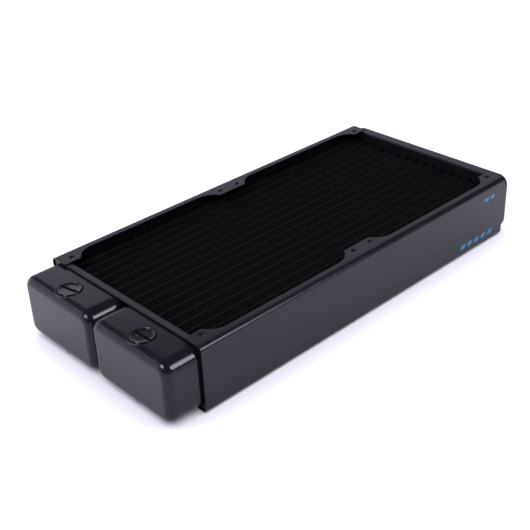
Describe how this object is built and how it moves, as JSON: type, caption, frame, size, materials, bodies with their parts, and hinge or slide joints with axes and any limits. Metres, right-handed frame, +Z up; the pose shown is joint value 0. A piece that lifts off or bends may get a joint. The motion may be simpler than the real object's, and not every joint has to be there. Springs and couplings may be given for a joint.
{
  "type": "liquid cooling radiator",
  "caption": "Black flat radiator for a computer's cooling loop: a finned tube core in two side frames that carry fans, with port tanks at one end and a return tank at the other.",
  "frame": {"origin": "on the surface that the radiator stands on, below the middle of its bounding box", "axes": "+X from the port tanks to the return tank, +Y across the width, from the inlet side to the outlet side, +Z up through the fan openings"},
  "size_m": [0.313, 0.144, 0.045],
  "materials": {
    "frame_paint": "black semi-gloss powder coat",
    "header_paint": "black semi-gloss paint",
    "tank_paint": "black gloss paint",
    "tube_paint": "thin matte black paint",
    "fin_paint": "thin matte black paint",
    "bush_paint": "black paint over brass",
    "plug_black": "glossy black nickel",
    "seal_rubber": "black rubber"
  },
  "bodies": {
    "radiator": {"side_frame_front": "frame_paint", "side_frame_rear": "frame_paint", "header_port_end": "header_paint", "header_return_end": "header_paint", "inlet_tank": "tank_paint", "outlet_tank": "tank_paint", "return_tank": "tank_paint", "top_bush_inlet": "bush_paint", "top_bush_outlet": "bush_paint", "bottom_bush_inlet": "bush_paint", "bottom_bush_outlet": "bush_paint", "flat_tube_01": "tube_paint", "flat_tube_02": "tube_paint", "flat_tube_03": "tube_paint", "flat_tube_04": "tube_paint", "flat_tube_05": "tube_paint", "flat_tube_06": "tube_paint", "flat_tube_07": "tube_paint", "flat_tube_08": "tube_paint", "flat_tube_09": "tube_paint", "flat_tube_10": "tube_paint", "flat_tube_11": "tube_paint", "flat_tube_12": "tube_paint", "flat_tube_13": "tube_paint", "flat_tube_14": "tube_paint", "flat_tube_15": "tube_paint", "flat_tube_16": "tube_paint", "fin_strip_01": "fin_paint", "fin_strip_02": "fin_paint", "fin_strip_03": "fin_paint", "fin_strip_04": "fin_paint", "fin_strip_05": "fin_paint", "fin_strip_06": "fin_paint", "fin_strip_07": "fin_paint", "fin_strip_08": "fin_paint", "fin_strip_09": "fin_paint", "fin_strip_10": "fin_paint", "fin_strip_11": "fin_paint", "fin_strip_12": "fin_paint", "fin_strip_13": "fin_paint", "fin_strip_14": "fin_paint", "fin_strip_15": "fin_paint", "fin_strip_16": "fin_paint", "fin_strip_17": "fin_paint"},
    "inlet_seal": {"plug_seal_inlet": "seal_rubber"},
    "inlet_plug": {"plug_inlet": "plug_black"},
    "outlet_seal": {"plug_seal_outlet": "seal_rubber"},
    "outlet_plug": {"plug_outlet": "plug_black"}
  },
  "joints": [
    {"name": "inlet_plug_lift", "type": "slide", "parent": "radiator", "child": "inlet_seal", "axis": [0, 0, 1], "range_m": [0, 0.0047]},
    {"name": "inlet_plug_turn", "type": "hinge", "parent": "inlet_seal", "child": "inlet_plug", "pos_m": [-0.14575, -0.03705, 0.0432], "axis": [0, 0, 1], "range_deg": [0, 1260]},
    {"name": "outlet_plug_lift", "type": "slide", "parent": "radiator", "child": "outlet_seal", "axis": [0, 0, 1], "range_m": [0, 0.0047]},
    {"name": "outlet_plug_turn", "type": "hinge", "parent": "outlet_seal", "child": "outlet_plug", "pos_m": [-0.14575, 0.03365, 0.0432], "axis": [0, 0, 1], "range_deg": [0, 1260]}
  ],
  "couplings": [
    {"joint": "inlet_plug_lift", "follows": "inlet_plug_turn", "m_per_rad": 0.00021279},
    {"joint": "outlet_plug_lift", "follows": "outlet_plug_turn", "m_per_rad": 0.00021279}
  ]
}
